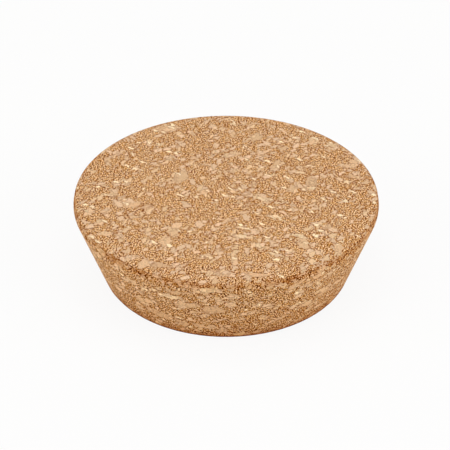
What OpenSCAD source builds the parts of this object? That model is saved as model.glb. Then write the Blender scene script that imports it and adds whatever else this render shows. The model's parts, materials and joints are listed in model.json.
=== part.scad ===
// Tapered cork stopper for a wide-mouth jar.
// One piece of agglomerated cork: granules pressed and glued into a block, cut to
// a round blank and ground to a taper. The grinding stops just short of the top,
// so the blank's own upright edge is left there as a narrow band, the land.
// The axis is Z, the base lies on Z = 0 and the wide face is on top.

/* [Stopper] */
// Diameter at the widest ring, measured to the corner that its eased edge rounds off
widest_d = 92; // [84:1:130]
// Diameter of the base, measured to the corner that its eased edge rounds off
base_d = 76; // [50:1:82]
// Height from the base to the top face
height = 25; // [18:1:50]

/* [Land] */
// Height of the upright band between the taper and the top face
land_h = 2; // [1.8:0.1:5]
// How much smaller the radius is at the top face than at the widest ring
land_draft = 0.4; // [0:0.1:0.8]

/* [Eased edges] */
// Radius of the edge round the top face
rim_ease = 0.4; // [0.1:0.1:1]
// Radius that blends the land into the taper
shoulder_ease = 1.5; // [0.5:0.1:2]
// Radius of the edge round the base
base_ease = 0.6; // [0.2:0.1:2]

/* [Hidden] */
$fn = 180;

// The half section's sharp corners, from the axis at the base up to the axis at the top
corners = [
    [0, 0],
    [base_d / 2, 0],
    [widest_d / 2, height - land_h],
    [widest_d / 2 - land_draft, height],
    [0, height],
];

// Radius at each corner, where 0 is left sharp
eases = [0, base_ease, shoulder_ease, rim_ease, 0];

function unit(v) = v / norm(v);

// Directions from corner i of an outline towards the corners before and after it
function to_before(outline, i) = unit(outline[(i + len(outline) - 1) % len(outline)] - outline[i]);
function to_after(outline, i) = unit(outline[(i + 1) % len(outline)] - outline[i]);

// Half of the angle inside corner i
function half_angle(outline, i) = acos(to_before(outline, i) * to_after(outline, i)) / 2;

// The points where an arc of radius r runs into the two sides of corner i
function arc_ends(outline, i, r) =
    let (run = r / tan(half_angle(outline, i)))
    [
        outline[i] + run * to_before(outline, i),
        outline[i] + run * to_after(outline, i),
    ];

// Centre of that arc, on the line that halves the corner
function arc_centre(outline, i, r) =
    outline[i] + r / sin(half_angle(outline, i))
        * unit(to_before(outline, i) + to_after(outline, i));

// An outline with true arcs at its corners: each corner is cut straight across
// between its arc's ends, and a disc that touches both sides fills it out again
module eased_outline(outline, radii) {
    polygon([
        for (i = [0 : len(outline) - 1])
            each radii[i] > 0 ? arc_ends(outline, i, radii[i]) : [outline[i]]
    ]);
    for (i = [0 : len(outline) - 1])
        if (radii[i] > 0)
            translate(arc_centre(outline, i, radii[i])) circle(radii[i]);
}

module cork_stopper() {
    color("#cca177")
        rotate_extrude() eased_outline(corners, eases);
}

cork_stopper();
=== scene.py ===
# %% [markdown]
# # A tapered stopper of agglomerated cork
#
# The object is a wide, low stopper for a jar: cork waste milled to granules, pressed
# and glued into a block, cut to a round blank and ground to a taper. In this lesson it
# is dressed in Blender around a CAD solid that already has the true size. There are
# three jobs: a mesh that is fine enough to carry the grain as real relief, a material
# that is built up the way the cork itself is, from granules of several sizes, and a
# plain pale studio that shows it.

# %% Load the frame
import json
import math

import bmesh
import bpy
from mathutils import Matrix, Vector

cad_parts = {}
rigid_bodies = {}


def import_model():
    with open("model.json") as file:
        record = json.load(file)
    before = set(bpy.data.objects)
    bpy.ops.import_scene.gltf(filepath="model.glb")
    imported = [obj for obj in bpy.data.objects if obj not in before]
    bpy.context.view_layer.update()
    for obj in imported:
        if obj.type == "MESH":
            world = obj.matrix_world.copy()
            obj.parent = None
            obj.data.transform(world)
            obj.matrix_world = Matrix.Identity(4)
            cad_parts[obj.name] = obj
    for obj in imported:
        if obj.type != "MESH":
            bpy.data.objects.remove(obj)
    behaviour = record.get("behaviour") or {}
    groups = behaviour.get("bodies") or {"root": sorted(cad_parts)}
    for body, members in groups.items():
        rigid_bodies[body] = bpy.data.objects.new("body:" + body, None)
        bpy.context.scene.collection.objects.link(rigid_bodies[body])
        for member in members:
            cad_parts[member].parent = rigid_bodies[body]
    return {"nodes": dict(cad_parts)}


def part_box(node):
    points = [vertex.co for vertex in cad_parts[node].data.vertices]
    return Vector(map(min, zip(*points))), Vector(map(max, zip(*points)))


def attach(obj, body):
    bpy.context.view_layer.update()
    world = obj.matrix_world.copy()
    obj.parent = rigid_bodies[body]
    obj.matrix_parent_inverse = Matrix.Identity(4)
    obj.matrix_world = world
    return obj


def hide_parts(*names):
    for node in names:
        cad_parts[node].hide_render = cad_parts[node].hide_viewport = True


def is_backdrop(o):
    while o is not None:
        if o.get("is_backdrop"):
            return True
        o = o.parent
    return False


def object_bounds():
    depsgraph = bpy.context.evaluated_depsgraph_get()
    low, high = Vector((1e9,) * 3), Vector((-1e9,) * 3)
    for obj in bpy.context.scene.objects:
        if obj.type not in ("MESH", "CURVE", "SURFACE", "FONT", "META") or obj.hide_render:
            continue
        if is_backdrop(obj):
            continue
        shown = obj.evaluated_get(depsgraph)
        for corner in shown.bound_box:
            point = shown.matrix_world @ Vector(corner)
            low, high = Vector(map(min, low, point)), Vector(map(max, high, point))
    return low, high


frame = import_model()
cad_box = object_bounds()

NODE = "cork_stopper"
MM = 0.001
_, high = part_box(NODE)
height = high.z
print("CAD nodes:", sorted(frame["nodes"]), "height in mm:", round(height / MM, 2))

# %% [markdown]
# ## The half section
#
# Seen from the side the stopper is a cone that ends in a narrow upright band, the
# land, just below the top face. The grinding wheel cut the cone and stopped short of
# the top, and the land is what it left of the blank. The height comes from the frame.
# The other sizes are named here, because a bounding box can't tell them: the base, the
# land, and the radius of each eased edge. Every corner of the half section is a ring
# on the stopper.

# %% Sizes of the half section
base_radius = 38 * MM
widest_radius = 46 * MM
land_height = 2 * MM
land_draft = 0.4 * MM
rim_ease = 0.4 * MM
shoulder_ease = 1.5 * MM
base_ease = 0.6 * MM

land_bottom = height - land_height
top_radius = widest_radius - land_draft
taper = math.degrees(math.atan((widest_radius - base_radius) / land_bottom))
print("land from", round(land_bottom / MM, 2), "to", round(height / MM, 2), "mm")
print("taper on each side:", round(taper, 1), "degrees")

# %% [markdown]
# ## A disc without a pole
#
# The top is a flat face cut across the block. A disc that is spun round its axis has
# all its faces crowded at the centre, but relief needs faces of about the same size
# everywhere. So the top face starts as a square grid, and each square ring of the grid
# is bent into a circle. All the faces are quads and none is much larger than its
# neighbours.

# %% Square grid to disc
DISC_CELLS = 172
AT_CENTRE = 1e-9


def onto_disc(point):
    """Moves a point of the square -1..1 so that square rings become circles."""
    if point.xy.length < AT_CENTRE:
        return Vector((0, 0, point.z))
    if abs(point.x) > abs(point.y):
        radius = point.x
        angle = math.pi / 4 * point.y / point.x
    else:
        radius = point.y
        angle = math.pi / 2 - math.pi / 4 * point.x / point.y
    return Vector((radius * math.cos(angle), radius * math.sin(angle), point.z))


def add_disc(bm, radius, z):
    """Adds a flat disc of quads at this height."""
    square = bmesh.ops.create_grid(bm, x_segments=DISC_CELLS, y_segments=DISC_CELLS, size=1)
    for vert in square["verts"]:
        vert.co = onto_disc(vert.co) * radius
        vert.co.z = z


bm = bmesh.new()
add_disc(bm, top_radius, height)
ring = [edge for edge in bm.edges if edge.is_boundary]
print("faces in the top disc:", len(bm.faces), "edges round it:", len(ring))

# %% [markdown]
# ## The turned body
#
# The land and the cone could be a cylinder and a cone joined on, but then their rings
# would have to be matched to the disc. Here the outer edge of the top disc is extruded
# downwards once for each ring of the half section, and each new ring is scaled to its
# own radius. Extruding follows how the shape runs and keeps each ring in one piece. A
# second disc closes the base. The two discs and the wall are then merged, and after
# that the normals are recalculated, so that every face points outwards.

# %% Land, cone and base
WELD = 0.001 * MM


def extrude_ring(bm, edges, radius, z):
    """Extrudes a ring to a new radius and height and returns the new ring's edges."""
    old_radius = edges[0].verts[0].co.xy.length
    old_z = edges[0].verts[0].co.z
    made = bmesh.ops.extrude_edge_only(bm, edges=edges)["geom"]
    verts = {item for item in made if isinstance(item, bmesh.types.BMVert)}
    scale = radius / old_radius
    bmesh.ops.scale(bm, vec=(scale, scale, 1), verts=list(verts))
    bmesh.ops.translate(bm, vec=(0, 0, z - old_z), verts=list(verts))
    return [
        item
        for item in made
        if isinstance(item, bmesh.types.BMEdge) and verts.issuperset(item.verts)
    ]


ring = extrude_ring(bm, ring, widest_radius, land_bottom)
extrude_ring(bm, ring, base_radius, 0)
add_disc(bm, base_radius, 0)
bmesh.ops.remove_doubles(bm, verts=bm.verts, dist=WELD)
bmesh.ops.recalc_face_normals(bm, faces=bm.faces)
print("open edges left:", sum(edge.is_boundary for edge in bm.edges))

# %% [markdown]
# ## Eased edges
#
# Cork is soft, so no edge of it stays sharp: the rim and the base edge are rubbed
# round, and the land runs into the taper with a wider curve. A Bevel modifier could do
# it for all edges at one width, but each ring here has its own radius, so each one is
# bevelled by itself. The bevel's offset is the length that the arc takes off each side
# of the corner, which is radius / tan(half of the angle between the sides).

# %% Ease the three rings
EASE_SEGMENTS = 3
NEAR = 0.01 * MM
base_corner = (base_radius, 0)
widest_corner = (widest_radius, land_bottom)
top_corner = (top_radius, height)


def ease_ring(bm, ease, before, corner, after):
    """Bevels the ring at this corner of the half section to the given radius."""
    to_before = (Vector(before) - Vector(corner)).normalized()
    to_after = (Vector(after) - Vector(corner)).normalized()
    offset = ease / math.tan(to_before.angle(to_after) / 2)
    radius, z = corner
    edges = [
        edge
        for edge in bm.edges
        if all(
            abs(vert.co.z - z) < NEAR and abs(vert.co.xy.length - radius) < NEAR
            for vert in edge.verts
        )
    ]
    bmesh.ops.bevel(
        bm,
        geom=edges,
        offset=offset,
        offset_type="OFFSET",
        segments=EASE_SEGMENTS,
        profile=0.5,
        affect="EDGES",
        material=-1,
    )
    print("eased", len(edges), "edges, offset", round(offset / MM, 3), "mm")


ease_ring(bm, rim_ease, widest_corner, top_corner, (0, height))
ease_ring(bm, shoulder_ease, base_corner, widest_corner, top_corner)
ease_ring(bm, base_ease, (0, 0), base_corner, widest_corner)

# %% [markdown]
# ## Rows round the side
#
# The cone is still one tall row of faces, and relief can only move vertices that are
# there. Its upright edges are cut so that the rows are about as high as the faces are
# wide, half a millimetre or so, and the land's are cut in the same way. Subdividing
# just those edges costs far fewer faces than a Subdivision Surface modifier would.

# %% Divide the side and make the object
TAPER_CUTS = 39
LAND_CUTS = 2


def divide_upright_edges(bm, shortest, longest, cuts):
    """Cuts the faces whose upright edges have a length in this range into rows."""
    upright = [
        edge
        for edge in bm.edges
        if abs(edge.verts[0].co.z - edge.verts[1].co.z) > shortest
        and edge.calc_length() < longest
    ]
    bmesh.ops.subdivide_edges(bm, edges=upright, cuts=cuts, use_grid_fill=True)


divide_upright_edges(bm, height / 2, 2 * height, TAPER_CUTS)
divide_upright_edges(bm, land_height / 2, land_height, LAND_CUTS)
bmesh.ops.recalc_face_normals(bm, faces=bm.faces)

body_mesh = bpy.data.meshes.new("cork_body")
bm.to_mesh(body_mesh)
bm.free()
body_mesh.shade_smooth()
cork_body = bpy.data.objects.new("cork_body", body_mesh)
bpy.context.scene.collection.objects.link(cork_body)
triangles = sum(len(face.vertices) - 2 for face in body_mesh.polygons)
print("cork body:", len(body_mesh.vertices), "vertices,", triangles, "triangles")

# %% [markdown]
# ## Two small tools for node trees
#
# The relief and the material are both built from nodes, and Geometry Nodes and shaders
# share the ones that make patterns. One function adds any node, sets its properties
# and links or fills its inputs. The other turns a colour written as a web page writes
# it into the linear numbers that light is reckoned in.


# %% Node tools
def linear(hex_colour):
    """An sRGB hex colour as the linear red, green, blue and alpha that a socket takes."""
    channels = [int(hex_colour[start : start + 2], 16) / 255 for start in (1, 3, 5)]
    bent = [c / 12.92 if c <= 0.04045 else ((c + 0.055) / 1.055) ** 2.4 for c in channels]
    return (*bent, 1)


def add(tree, kind, settings=None, inputs=None):
    """Adds a node, sets its properties, and links or fills its inputs."""
    node = tree.nodes.new(kind)
    for name, value in (settings or {}).items():
        setattr(node, name, value)
    for name, value in (inputs or {}).items():
        if isinstance(value, bpy.types.NodeSocket):
            tree.links.new(value, node.inputs[name])
        else:
            node.inputs[name].default_value = value
    return node


print("cork tan in linear light:", [round(c, 3) for c in linear("#c79863")[:3]])

# %% [markdown]
# ## The block inside
#
# Agglomerated cork is milled waste, sieved and pressed with a little glue, so the
# block is a solid packing of chips, and a ground face is a flat cut through it.
# A three-dimensional pattern does just that: the mesh cuts it wherever the surface
# happens to run, and the chips carry on round the edges. It is measured in
# millimetres on the object's own coordinates. The press flattens the chips, so height
# counts for more than width, and a slow noise bends the whole space a little, because
# the straight walls of Voronoi cells look like crystals and not like cork.

# %% Space of the pressed block
PRESSING = 1.2
BEND_EVERY = 1.25
BEND_BY = 1.5


def block_space(tree, place):
    """Millimetres in the pressed block, bent so that chips get uneven outlines."""
    pressed = add(
        tree,
        "ShaderNodeVectorMath",
        {"operation": "MULTIPLY"},
        {0: place, 1: (1 / MM, 1 / MM, PRESSING / MM)},
    ).outputs[0]
    wander = add(
        tree,
        "ShaderNodeTexNoise",
        None,
        {"Vector": pressed, "Scale": 1 / BEND_EVERY, "Detail": 1.0},
    ).outputs["Color"]
    centred = add(
        tree,
        "ShaderNodeVectorMath",
        {"operation": "SUBTRACT"},
        {0: wander, 1: (0.5, 0.5, 0.5)},
    ).outputs[0]
    return add(
        tree,
        "ShaderNodeVectorMath",
        {"operation": "MULTIPLY_ADD"},
        {0: centred, 1: (BEND_BY, BEND_BY, BEND_BY), 2: pressed},
    ).outputs[0]


print("chips lie", PRESSING, "times as wide as they are high")

# %% [markdown]
# ## Sorts of chips
#
# Sieving lets through everything from splinters to flakes of half a centimetre and
# more. Each sort here is one Voronoi pattern of its own size, stretched along its own
# direction and starting at its own layer, so that no two sorts line up. Bark is paler
# towards its inner side, so their colours differ too: the big chips are plain tan, and
# the thin splinters are the palest. Those pale splinters also stand in for small bright
# glints, so they are partly painted highlight. Chips of one size on one even grid would
# be simpler, but the eye finds the grid.

# %% Table of the sorts
CHIP_SORTS = [
    # width of a cell in mm, slenderness, turn in degrees, share of cells, layer, colour
    (4.1, 2.2, 15, 0.050, 0.36, "#d4ac84"),
    (3.1, 1.8, 100, 0.075, 0.45, "#d8b28a"),
    (2.4, 2.0, -30, 0.085, 0.63, "#d9b48d"),
    (2.1, 2.8, 20, 0.045, 0.41, "#e4c79f"),
    (2.0, 1.8, 60, 0.120, 0.72, "#dcb995"),
    (1.6, 1.7, 140, 0.155, 0.90, "#debc99"),
    (1.3, 2.2, -65, 0.180, 0.99, "#debb92"),
    # The palest splinters also stand in for small bright glints: partly painted highlight.
    (1.0, 2.6, 35, 0.045, 0.54, "#f4dbb4"),
]
CUT_FROM = 102.9  # how far into the endless block the stopper is cut

for width, slenderness, _, share, _, hex_colour in CHIP_SORTS:
    length = round(width * slenderness, 1)
    print(hex_colour, "chips in cells of", length, "by", width, "mm, share", share)

# %% [markdown]
# ## Where the chips lie
#
# A random few of a sort's cells hold a chip and the rest stay empty, so sorts can
# overlap as real chips do. The distance to the cell's wall, less a random gap, gives
# every chip an outline of its own. The same distance also finds a thin dark line round
# each chip: partly the glue and fine dark dust packed round it, and partly painted
# shade of the crevice at the chip's edge. It is what makes a chip stand out that is
# hardly paler than the dust. The function works in both kinds of node tree.

# %% Chips of one sort
# The dark line round each chip is glue and fine dust, and partly painted shade of the crevice at
# the chip's edge.
NARROWEST_GAP = 0.06  # the gaps are in widths of a cell, the glue line in mm
WIDEST_GAP = 0.17
GLUE_AND_SHADE_LINE = 0.25


def chip_sort(tree, block, sort, edge):
    """Where one sort's chips lie, edges this soft, with glue and shade lines and random draws."""
    width, slenderness, turn, share, layer, _ = sort
    turned = add(
        tree,
        "ShaderNodeVectorRotate",
        {"rotation_type": "Z_AXIS"},
        {"Vector": block, "Angle": math.radians(turn)},
    ).outputs[0]
    stretch = (1 / (width * slenderness), 1 / width, 1 / width)
    cells = add(
        tree,
        "ShaderNodeVectorMath",
        {"operation": "MULTIPLY_ADD"},
        {0: turned, 1: stretch, 2: (width + CUT_FROM, turn, layer)},
    ).outputs[0]
    nearest = add(tree, "ShaderNodeTexVoronoi", None, {"Vector": cells, "Scale": 1.0})
    draws = add(tree, "ShaderNodeSeparateXYZ", None, {0: nearest.outputs["Color"]})
    wall = add(
        tree,
        "ShaderNodeTexVoronoi",
        {"feature": "DISTANCE_TO_EDGE"},
        {"Vector": cells, "Scale": 1.0},
    ).outputs["Distance"]
    gap = add(
        tree,
        "ShaderNodeMapRange",
        None,
        {"Value": draws.outputs[2], "To Min": NARROWEST_GAP, "To Max": WIDEST_GAP},
    ).outputs[0]
    past_gap = add(tree, "ShaderNodeMath", {"operation": "SUBTRACT"}, {0: wall, 1: gap}).outputs[0]
    chosen = add(
        tree, "ShaderNodeMath", {"operation": "GREATER_THAN"}, {0: draws.outputs[0], 1: 1 - share}
    ).outputs[0]
    masks = []
    # The second mask is the dark line round the chip: glue, and painted crevice shade.
    for outer, inner in ((0.0, edge), (-GLUE_AND_SHADE_LINE, 0.0)):
        within = add(
            tree,
            "ShaderNodeMapRange",
            None,
            {"Value": past_gap, "From Min": outer / width, "From Max": inner / width},
        ).outputs[0]
        mask = add(tree, "ShaderNodeMath", {"operation": "MULTIPLY"}, {0: chosen, 1: within})
        masks.append(mask.outputs[0])
    chips, glue_and_shade = masks
    return chips, glue_and_shade, draws


print("gaps round the largest chips:", round(NARROWEST_GAP * CHIP_SORTS[0][0], 2), "mm and more")

# %% [markdown]
# ## Relief
#
# The grinding wheel tears the soft dust between the chips deeper than it wears the
# chips themselves, so they stand a few hundredths of a millimetre proud, and small pits
# are left where a grain fell out. That could be faked with bump alone, but real relief
# also shows along the outline and in the mesh itself. Geometry Nodes know the same
# chips as the material, so the relief fits the colours. It only ever goes inwards, so
# the stopper never grows past its true size. The mesh is too coarse for the smallest
# chips, so only the wide sorts take part.

# %% Chips that stand proud
RELIEF_EDGE = 0.5
RELIEF_SORTS = CHIP_SORTS[:5]

relief = bpy.data.node_groups.new("ground_relief", "GeometryNodeTree")
relief.interface.new_socket("Geometry", in_out="INPUT", socket_type="NodeSocketGeometry")
relief.interface.new_socket("Geometry", in_out="OUTPUT", socket_type="NodeSocketGeometry")
inlet = add(relief, "NodeGroupInput")
place = add(relief, "GeometryNodeInputPosition").outputs[0]
normal = add(relief, "GeometryNodeInputNormal").outputs[0]
block = block_space(relief, place)

bare = 1.0
for sort in RELIEF_SORTS:
    chips, _, _ = chip_sort(relief, block, sort, RELIEF_EDGE)
    free = add(relief, "ShaderNodeMath", {"operation": "SUBTRACT"}, {0: 1.0, 1: chips}).outputs[0]
    bare = add(relief, "ShaderNodeMath", {"operation": "MULTIPLY"}, {0: bare, 1: free}).outputs[0]
print("sorts of chips in the relief:", len(RELIEF_SORTS))

# %% [markdown]
# ## Torn dust
#
# The wheel takes a little off everywhere, and more off the dust. Pits come from a
# noise: most of the dust lies at one level, and only the noise's peaks go deeper. The
# surface moves along its normal, which works the same way on the faces and the side.

# %% Depth of the relief
LEAST_DEPTH = 0.012
DUST_DEPTH = 0.025
PIT_DEPTH = 0.03
PIT_EVERY = 0.875
PITS_START = 0.5
PITS_FULL = 0.75

torn = add(
    relief,
    "ShaderNodeTexNoise",
    None,
    {"Vector": block, "Scale": 1 / PIT_EVERY, "Detail": 1.0},
).outputs["Fac"]
dust_depth = add(
    relief,
    "ShaderNodeMapRange",
    None,
    {
        "Value": torn,
        "From Min": PITS_START,
        "From Max": PITS_FULL,
        "To Min": DUST_DEPTH,
        "To Max": DUST_DEPTH + PIT_DEPTH,
    },
).outputs[0]
depth = add(
    relief,
    "ShaderNodeMath",
    {"operation": "MULTIPLY_ADD"},
    {0: dust_depth, 1: bare, 2: LEAST_DEPTH},
).outputs[0]
inwards = add(relief, "ShaderNodeMath", {"operation": "MULTIPLY"}, {0: depth, 1: -MM}).outputs[0]
offset = add(
    relief, "ShaderNodeVectorMath", {"operation": "SCALE"}, {0: normal, "Scale": inwards}
).outputs[0]
ground = add(
    relief, "GeometryNodeSetPosition", None, {"Geometry": inlet.outputs[0], "Offset": offset}
)
add(relief, "NodeGroupOutput", None, {0: ground.outputs[0]})
print("nodes in the relief:", len(relief.nodes))

# %% [markdown]
# ## Grind the mesh
#
# The modifier could stay live, but the stopper is one fixed shape, and an applied mesh
# is quicker to render and to export. The modifier's result is read from the dependency
# graph, and the object takes it as its own mesh.

# %% Apply the relief
cork_body.modifiers.new("ground_relief", "NODES").node_group = relief
smooth_places = [vert.co.copy() for vert in body_mesh.vertices]
evaluated = cork_body.evaluated_get(bpy.context.evaluated_depsgraph_get())
ground_mesh = bpy.data.meshes.new_from_object(evaluated)
cork_body.modifiers.clear()
cork_body.data = ground_mesh
ground_mesh.name = "cork_body"
bpy.data.meshes.remove(body_mesh)
depths = [
    (vert.co - smooth).length / MM for vert, smooth in zip(ground_mesh.vertices, smooth_places)
]
print("relief from", round(min(depths), 3), "to", round(max(depths), 3), "mm deep")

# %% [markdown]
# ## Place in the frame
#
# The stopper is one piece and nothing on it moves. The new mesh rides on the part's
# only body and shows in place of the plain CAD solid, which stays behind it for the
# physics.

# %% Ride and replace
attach(cork_body, "root")
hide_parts(NODE)
print("cork_body shows in place of", NODE)

# %% [markdown]
# ## Agglomerated cork, ground
#
# The material is pressed cork granulate whose surface was made by a grinding wheel.
# Grinding opens the cells of the cork, and that gives the eye a dry, matte, warm tan
# with no varnish on it: pale chips in a darker, speckled dust. An image texture would
# stretch over the edges, so everything is drawn by nodes. First come coordinates for
# the dust. A cut through a three-dimensional pattern of crumbs is blotchy, since it
# catches some in the middle and some at the rim. The crumbs are laid out flat on the
# surface instead: as a plan on the two faces, and unrolled on the side, with the seam
# at the back. The change is made on the eased edges.

# %% Flat millimetres on the surface
EDGE_BAND = 0.3
EDGE_FADE = 0.05
height_mm = height / MM

material = bpy.data.materials.new("agglomerated_cork_ground")
material.use_nodes = True
tree = material.node_tree
tree.nodes.clear()

place = add(tree, "ShaderNodeTexCoord").outputs["Object"]
mm = add(
    tree, "ShaderNodeVectorMath", {"operation": "SCALE"}, {0: place, "Scale": 1 / MM}
).outputs[0]
axes = add(tree, "ShaderNodeSeparateXYZ", None, {0: mm})
up = axes.outputs[2]
on_face = 0.0
for edge_height, outwards in ((height_mm - EDGE_BAND, 1), (EDGE_BAND, -1)):
    reached = add(
        tree,
        "ShaderNodeMapRange",
        None,
        {
            "Value": up,
            "From Min": edge_height - outwards * EDGE_FADE,
            "From Max": edge_height + outwards * EDGE_FADE,
        },
    ).outputs[0]
    on_face = add(
        tree, "ShaderNodeMath", {"operation": "MAXIMUM"}, {0: reached, 1: on_face}
    ).outputs[0]
on_side = add(tree, "ShaderNodeMath", {"operation": "SUBTRACT"}, {0: 1.0, 1: on_face}).outputs[0]
backwards = add(
    tree, "ShaderNodeMath", {"operation": "MULTIPLY"}, {0: axes.outputs[1], 1: -1}
).outputs[0]
angle = add(
    tree, "ShaderNodeMath", {"operation": "ARCTAN2"}, {0: axes.outputs[0], 1: backwards}
).outputs[0]
middle_radius = (base_radius + widest_radius) / 2 / MM
around = add(
    tree, "ShaderNodeMath", {"operation": "MULTIPLY"}, {0: angle, 1: middle_radius}
).outputs[0]
unrolled = add(tree, "ShaderNodeCombineXYZ", None, {0: around, 1: up}).outputs[0]
surface = add(
    tree, "ShaderNodeMix", {"data_type": "VECTOR"}, {0: on_face, 4: unrolled, 5: mm}
).outputs[1]
print("the side unrolls to", round(2 * math.pi * middle_radius), "by", round(height_mm), "mm")

# %% [markdown]
# ## Crumbs of dust
#
# Between the chips lies cork dust. Its crumbs are a tenth or two of a millimetre
# across, each pale in the middle with a dark pore or a line of glue round it. Drawn
# that small they would blur to a flat tan, so they are 0.44 mm here, as coarse as they
# need to be to show. The distance to the nearest Voronoi point gives each crumb its
# round shape. A noise of about the same size is laid over them, because crumbs alone
# look like pebbled leather.

# %% Crumbs and grit
CRUMB = 0.44
GRIT = 0.35
CRUMB_REACH = 0.8

crumbs = add(
    tree,
    "ShaderNodeTexVoronoi",
    {"voronoi_dimensions": "2D"},
    {"Vector": surface, "Scale": 1 / CRUMB, "Randomness": 1.0},
)
crumb_height = add(
    tree,
    "ShaderNodeMapRange",
    None,
    {
        "Value": crumbs.outputs["Distance"],
        "From Max": CRUMB_REACH,
        "To Min": 1.0,
        "To Max": 0.0,
    },
).outputs[0]
grit = add(
    tree,
    "ShaderNodeTexNoise",
    {"noise_dimensions": "2D"},
    {"Vector": surface, "Scale": 1 / GRIT, "Detail": 0.0},
).outputs["Fac"]
print("crumbs on a square centimetre:", round(100 / CRUMB**2))

# %% [markdown]
# ## Odd crumbs
#
# Most crumbs are much alike, but here and there one is a splinter of dark bark or a
# bright fresh break. Every Voronoi cell has a random colour, and a curve turns one
# channel of it into how far that crumb departs from the rest: flat in the middle and
# steep at both ends. A plain random brightness would scatter too many half-dark ones.

# %% Departures from the common crumb
draw = add(tree, "ShaderNodeSeparateXYZ", None, {0: crumbs.outputs["Color"]}).outputs[0]
odd_crumbs = add(tree, "ShaderNodeFloatCurve", None, {"Value": draw})
curve = odd_crumbs.mapping.curves[0]
curve.points[0].location = (0.0, 1.0)
curve.points[1].location = (1.0, 0.0)
COMMON_CRUMBS = ((0.03, 0.56), (0.5, 0.5), (0.9, 0.42))  # draw and departure
for drawn, departure in COMMON_CRUMBS:
    curve.points.new(drawn, departure)
odd_crumbs.mapping.update()
print("crumbs that stay near the middle tone:", COMMON_CRUMBS[-1][0] - COMMON_CRUMBS[0][0])

# %% [markdown]
# ## Tone and colour of the dust
#
# The three patterns are added up to one tone, each with its own contrast, around a
# middle tone. A colour ramp then turns tone into colour. Cork doesn't just get darker
# in its pores: it turns from pale straw through tan to the orange brown of bark, so
# the dark stops are richer in colour and not merely black added to tan. The dust on
# the side is a shade darker than on the two faces.

# %% From tone to colour
MIDDLE_TONE = 0.49
MEAN_CRUMB = 0.43  # the mean height of the crumbs
CRUMB_CONTRAST = 1.3
GRIT_CONTRAST = 1.2
ODD_CONTRAST = 0.75
DUST_DARKER_ON_SIDE = 0.02
DUST_COLOURS = [
    (0.0, "#441400"),
    (0.27, "#8a3f00"),
    (0.57, "#c78c42"),
    (0.9, "#f8ca90"),
    (1.0, "#ffe8c8"),
]

lowest = MIDDLE_TONE - MEAN_CRUMB * CRUMB_CONTRAST - (GRIT_CONTRAST + ODD_CONTRAST) / 2
tone = lowest
for pattern, contrast in (
    (crumb_height, CRUMB_CONTRAST),
    (grit, GRIT_CONTRAST),
    (odd_crumbs.outputs[0], ODD_CONTRAST),
    (on_side, -DUST_DARKER_ON_SIDE),
):
    tone = add(
        tree,
        "ShaderNodeMath",
        {"operation": "MULTIPLY_ADD"},
        {0: pattern, 1: contrast, 2: tone},
    ).outputs[0]

ramp = add(tree, "ShaderNodeValToRGB", None, {"Fac": tone})
stops = ramp.color_ramp.elements
for stop, (position, hex_colour) in zip(stops, (DUST_COLOURS[0], DUST_COLOURS[-1])):
    stop.position = position
    stop.color = linear(hex_colour)
for position, hex_colour in DUST_COLOURS[1:-1]:
    stops.new(position).color = linear(hex_colour)
colour = ramp.outputs["Color"]
print("tone runs from", round(lowest, 2), "and the ramp has", len(stops), "stops")

# %% [markdown]
# ## Chips in the dust
#
# Each sort of chips is laid over the dust with the same function that shaped the
# relief. Its dark line of glue and painted crevice shade comes first and the chip on
# top of it. Every chip is a little paler or darker than the next of its sort, and the
# crumbs run through it faintly, because a cut chip shows its own fine cells. Without
# that grain chips look painted.
# On the side the chips are cut across their thickness, which shows them paler.

# %% Chips in the material
CHIP_EDGE = 0.04
# The dark line round each chip: glue and fine dust, and partly painted crevice shade.
GLUE_AND_SHADE_COLOUR = "#823c00"
GLUE_AND_SHADE_SHOWS = 0.5
CHIP_GRAIN = 0.42
DARKEST_CHIP = 0.93
PALEST_CHIP = 1.09
CHIPS_PALER_ON_SIDE = 0.1

block = block_space(tree, place)
grain = add(
    tree, "ShaderNodeMath", {"operation": "MULTIPLY"}, {0: crumb_height, 1: CHIP_GRAIN}
).outputs[0]
grain = add(
    tree,
    "ShaderNodeMath",
    {"operation": "MULTIPLY_ADD"},
    {0: on_side, 1: CHIPS_PALER_ON_SIDE, 2: grain},
).outputs[0]
flat_chips = 0.0
for sort in CHIP_SORTS:
    chips, glue_and_shade, draws = chip_sort(tree, block, sort, CHIP_EDGE)
    # Painted crevice shade and glue round the chip, laid under it.
    glue_and_shade_seen = add(
        tree, "ShaderNodeMath", {"operation": "MULTIPLY"}, {0: glue_and_shade, 1: GLUE_AND_SHADE_SHOWS}
    ).outputs[0]
    colour = add(
        tree,
        "ShaderNodeMix",
        {"data_type": "RGBA"},
        {0: glue_and_shade_seen, 6: colour, 7: linear(GLUE_AND_SHADE_COLOUR)},
    ).outputs[2]
    paleness = add(
        tree,
        "ShaderNodeMapRange",
        None,
        {
            "Value": draws.outputs[1],
            "To Min": DARKEST_CHIP - CHIP_GRAIN / 2,
            "To Max": PALEST_CHIP - CHIP_GRAIN / 2,
        },
    ).outputs[0]
    shade = add(tree, "ShaderNodeMath", {"operation": "ADD"}, {0: paleness, 1: grain}).outputs[0]
    chip = add(
        tree,
        "ShaderNodeVectorMath",
        {"operation": "SCALE"},
        {0: linear(sort[-1])[:3], "Scale": shade},
    ).outputs[0]
    colour = add(
        tree, "ShaderNodeMix", {"data_type": "RGBA"}, {0: chips, 6: colour, 7: chip}
    ).outputs[2]
    flat_chips = add(
        tree, "ShaderNodeMath", {"operation": "MAXIMUM"}, {0: chips, 1: flat_chips}
    ).outputs[0]
print("sorts of chips laid over the dust:", len(CHIP_SORTS))

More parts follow.
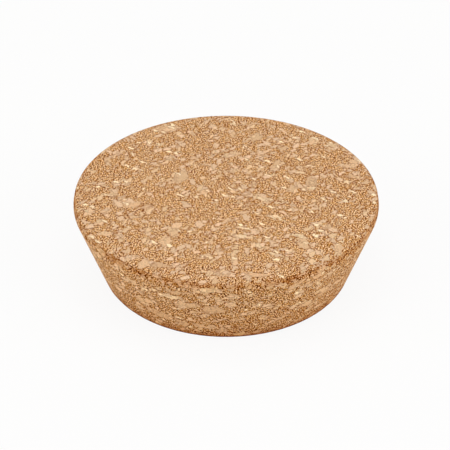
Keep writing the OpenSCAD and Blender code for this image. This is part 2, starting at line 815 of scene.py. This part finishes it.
# %% [markdown]
# ## Tints and painted shade at the edges
#
# The cut faces aren't all alike. The land, the blank's old outer skin that was never
# ground, is painted darker, most of all just below the rim: painted shade under the
# rim's edge. The rim is a darker brown. All that lies below the rim is a touch yellower
# than the top. The lower part of the cone is painted a shade deeper towards the floor,
# and the base edge dark brown: painted shade and contact shadow where the stopper
# stands on the paper. Each of these is a tint that multiplies the colour, and it is
# placed by a distance in the half section: the height, or how far a point lies from
# the rim or from the base edge. A slow noise breaks some of them up.

# %% Measures for the tints and painted shade
PATCH_SIZE = 4.5
LEAST_PATCH = 0.45
NOISE_FOR_LEAST_PATCH = 0.35
NOISE_FOR_FULL_PATCH = 0.65
BELOW_RIM_STARTS_AT = 0.3
BELOW_RIM_FULL_AT = 0.6

across = add(
    tree, "ShaderNodeVectorMath", {"operation": "MULTIPLY"}, {0: mm, 1: (1, 1, 0)}
).outputs[0]
radius = add(tree, "ShaderNodeVectorMath", {"operation": "LENGTH"}, {0: across}).outputs["Value"]
half_section = add(tree, "ShaderNodeCombineXYZ", None, {0: radius, 1: up}).outputs[0]
from_rim, from_base_edge = [
    add(
        tree,
        "ShaderNodeVectorMath",
        {"operation": "DISTANCE"},
        {0: half_section, 1: (corner[0] / MM, corner[1] / MM, 0)},
    ).outputs["Value"]
    for corner in (top_corner, base_corner)
]
patches = add(
    tree, "ShaderNodeTexNoise", None, {"Vector": block, "Scale": 1 / PATCH_SIZE, "Detail": 2.0}
).outputs["Fac"]
uneven = add(
    tree,
    "ShaderNodeMapRange",
    None,
    {"Value": patches, "From Min": NOISE_FOR_LEAST_PATCH, "From Max": NOISE_FOR_FULL_PATCH, "To Min": LEAST_PATCH},
).outputs[0]
below_rim = add(
    tree,
    "ShaderNodeMapRange",
    None,
    {
        "Value": up,
        "From Min": height_mm - BELOW_RIM_STARTS_AT,
        "From Max": height_mm - BELOW_RIM_FULL_AT,
    },
).outputs[0]
uneven_below = add(
    tree, "ShaderNodeMath", {"operation": "MULTIPLY"}, {0: uneven, 1: below_rim}
).outputs[0]
print("stains are broken up every", PATCH_SIZE, "mm")

# %% [markdown]
# ## Lay the tints and painted shade on
#
# One table holds them all. A loop reads it and adds a multiplying mix for each row, so
# a tint or a painted shade can be changed in one place. The rows that run the whole
# way round evenly have 1 in place of a noise.

# %% Tints and painted shade
land_foot = land_bottom / MM
# Each row is a tint or a painted shade that multiplies the colour.
TINTS_AND_PAINTED_SHADE = [
    # measured by, fades out at and is full at in mm, broken up by, tint
    # (below_rim is no length but a share, so its row runs from 0 to 1)
    (below_rim, 0.0, 1.0, 1.0, "#fffcf4"),
    # Painted shade: the lower part of the cone a shade deeper towards the floor.
    (up, 14.0, 1.0, 1.0, "#fbf3e8"),
    # Painted contact shadow: these two rows darken the base edge where it stands on the paper.
    (from_base_edge, 3.5, 0.6, 1.0, "#e4c6a4"),
    (from_base_edge, 0.9, 0.4, 1.0, "#b0713a"),
    # Painted shade under the rim: the land darker, most of all just below the rim.
    (up, land_foot - 0.4, land_foot + 1.2, uneven_below, "#d3b48f"),
    (from_rim, 0.45, 0.25, uneven, "#d8bd9c"),
]
for measure, fades_out, full, broken_up, tint in TINTS_AND_PAINTED_SHADE:
    reach = add(
        tree,
        "ShaderNodeMapRange",
        None,
        {"Value": measure, "From Min": fades_out, "From Max": full},
    ).outputs[0]
    reach = add(
        tree, "ShaderNodeMath", {"operation": "MULTIPLY"}, {0: reach, 1: broken_up}
    ).outputs[0]
    colour = add(
        tree,
        "ShaderNodeMix",
        {"data_type": "RGBA", "blend_type": "MULTIPLY"},
        {0: reach, 6: colour, 7: linear(tint)},
    ).outputs[2]
print("stains:", [tint for *_, tint in TINTS_AND_PAINTED_SHADE])

# %% [markdown]
# ## A dry, matte finish
#
# Cut cork cells scatter light in all directions, so the roughness is near its top, and
# they swallow most of the shine, so the gloss is a sixth of a smooth plastic's. The
# mesh carries the relief of the larger chips, and a bump of a hundredth of a
# millimetre adds the crumbs that are too small for it. Over a chip the bump lies flat,
# because the wheel cuts chips smoother than dust.

# %% Shader
BUMP_DEPTH = 0.012
ROUGHNESS = 0.9
GLOSS = 0.08

texture_height = add(
    tree, "ShaderNodeMath", {"operation": "MAXIMUM"}, {0: flat_chips, 1: crumb_height}
).outputs[0]
bump = add(
    tree,
    "ShaderNodeBump",
    None,
    {"Strength": 1.0, "Distance": BUMP_DEPTH * MM, "Height": texture_height},
).outputs[0]
shader = add(
    tree,
    "ShaderNodeBsdfPrincipled",
    None,
    {"Base Color": colour, "Roughness": ROUGHNESS, "Specular IOR Level": GLOSS, "Normal": bump},
)
add(tree, "ShaderNodeOutputMaterial", None, {"Surface": shader.outputs["BSDF"]})
cork_body.data.materials.append(material)
print("the cork has", len(tree.nodes), "nodes")

# %% [markdown]
# ## A white sweep
#
# The stopper stands on plain white paper. Paper that is lit well enough to look white
# would need more light than the cork can take, so the paper also glows a little, but
# only for rays that come straight from the camera or by way of a reflection. The cork
# itself is lit by the plain paper, and a share of the paper's own shading is kept, so
# that the stopper's shadow stays on it.

# %% Paper
FLOOR_HALF = 3.0
GLOW_SHARE = 0.9
PAPER_COLOUR = "#e6e4e1"
WHITE = "#ffffff"


def seen_rays(tree):
    """One for rays from the camera and from gloss and glass, zero for light on the way."""
    rays = add(tree, "ShaderNodeLightPath")
    seen = rays.outputs["Is Camera Ray"]
    for name in ("Is Glossy Ray", "Is Transmission Ray"):
        seen = add(
            tree, "ShaderNodeMath", {"operation": "MAXIMUM"}, {0: seen, 1: rays.outputs[name]}
        ).outputs[0]
    return seen


floor_bm = bmesh.new()
bmesh.ops.create_grid(floor_bm, x_segments=1, y_segments=1, size=FLOOR_HALF)
floor_mesh = bpy.data.meshes.new("floor")
floor_bm.to_mesh(floor_mesh)
floor_bm.free()
floor = bpy.data.objects.new("floor", floor_mesh)
bpy.context.scene.collection.objects.link(floor)
floor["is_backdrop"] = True

paper = bpy.data.materials.new("white_paper_sweep")
paper.use_nodes = True
tree = paper.node_tree
tree.nodes.clear()
sheet = add(tree, "ShaderNodeBsdfDiffuse", None, {"Color": linear(PAPER_COLOUR)})
glow = add(tree, "ShaderNodeEmission", None, {"Color": linear(WHITE), "Strength": 1.0})
glowing = add(
    tree, "ShaderNodeMath", {"operation": "MULTIPLY"}, {0: seen_rays(tree), 1: GLOW_SHARE}
).outputs[0]
lit = add(tree, "ShaderNodeMixShader", None, {0: glowing, 1: sheet.outputs[0], 2: glow.outputs[0]})
add(tree, "ShaderNodeOutputMaterial", None, {"Surface": lit.outputs[0]})
floor.data.materials.append(paper)
print("paper", 2 * FLOOR_HALF, "m across, which glows with a share of", GLOW_SHARE)

# %% [markdown]
# ## The room behind
#
# Past the end of the paper lies the world. As light it is dim and comes from all
# around, as from the walls of a pale room, and it fills the shadows. The camera sees
# it nearly white, by the same rule as the paper.

# %% World
WORLD_LIGHT = 0.6
WORLD_SEEN = 0.98

world = bpy.data.worlds.new("studio")
world.use_nodes = True
bpy.context.scene.world = world
tree = world.node_tree
tree.nodes.clear()
strength = add(
    tree,
    "ShaderNodeMapRange",
    None,
    {"Value": seen_rays(tree), "To Min": WORLD_LIGHT, "To Max": WORLD_SEEN},
).outputs[0]
sky = add(tree, "ShaderNodeBackground", None, {"Color": linear(WHITE), "Strength": strength})
add(tree, "ShaderNodeOutputWorld", None, {"Surface": sky.outputs[0]})
print("the world lights with", WORLD_LIGHT, "and is seen at", WORLD_SEEN)

# %% [markdown]
# ## Soft light
#
# A large softbox hangs overhead, and two more stand low at the left and right, the
# right one slightly stronger. Wide lamps close to a small object wrap round it, so its
# shadows are faint and no edge gets a hard highlight. Small lamps would bring the
# relief out far too harshly.

# %% Softboxes
SOFTBOXES = [
    # name, side and distance in metres, turn and height in degrees, power in watts
    ("overhead", 1.2, 1.5, 0, 88, 6.57),
    ("left", 0.9, 1.3, -68, 24, 5.5),
    ("right", 0.9, 1.3, 68, 24, 6.0),
]
for name, side, distance, turn, rise, power in SOFTBOXES:
    lamp = bpy.data.lights.new(name, "AREA")
    lamp.shape = "SQUARE"
    lamp.size = side
    lamp.energy = power
    softbox = bpy.data.objects.new(name, lamp)
    bpy.context.scene.collection.objects.link(softbox)
    level = math.cos(math.radians(rise))
    away = Vector(
        (
            math.sin(math.radians(turn)) * level,
            -math.cos(math.radians(turn)) * level,
            math.sin(math.radians(rise)),
        )
    )
    softbox.location = away * distance
    softbox.rotation_euler = away.to_track_quat("Z", "Y").to_euler()
    print(name, "softbox:", power, "W at", distance, "m")

# %% [markdown]
# ## Camera
#
# The view is the one in which such a stopper is usually shown: from a little over a
# third of a right angle above the table, so that the whole top face and the taper
# below it are in sight. A long lens from half a metre away keeps the ellipse of the
# top nearly free of perspective. The camera is aimed by its own turn and not by a
# shift of the lens, so that other views can move it freely.

# %% Camera and view
LENS = 122.3
SENSOR = 36
CAMERA_DISTANCE = 0.46
camera_rise = math.radians(33.68)
aim_down = math.radians(1.197)
roll = math.radians(0.0518)

camera_data = bpy.data.cameras.new("camera")
camera_data.lens = LENS
camera_data.sensor_width = SENSOR
camera = bpy.data.objects.new("camera", camera_data)
bpy.context.scene.collection.objects.link(camera)
away = Vector((0, -math.cos(camera_rise), math.sin(camera_rise)))
camera.location = Vector((0, 0, height)) + CAMERA_DISTANCE * away
camera.rotation_euler = (math.radians(90) - camera_rise - aim_down, 0, roll)
bpy.context.scene.camera = camera
bpy.context.scene.view_settings.view_transform = "Standard"
print("field of view:", round(math.degrees(2 * math.atan(SENSOR / 2 / LENS)), 1), "degrees")

# %% [markdown]
# ## Sizes
#
# The dressed stopper has to be as large as the CAD solid and no larger. Both boxes are
# measured and their sizes printed.

# %% Print the sizes and finish
sizes = {
    "cad": [list(corner) for corner in cad_box],
    "visual": [list(corner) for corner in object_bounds()],
}
for name, (lowest_corner, highest_corner) in sizes.items():
    extent = [round((top - bottom) / MM, 2) for bottom, top in zip(lowest_corner, highest_corner)]
    print(name, "box in mm:", extent)
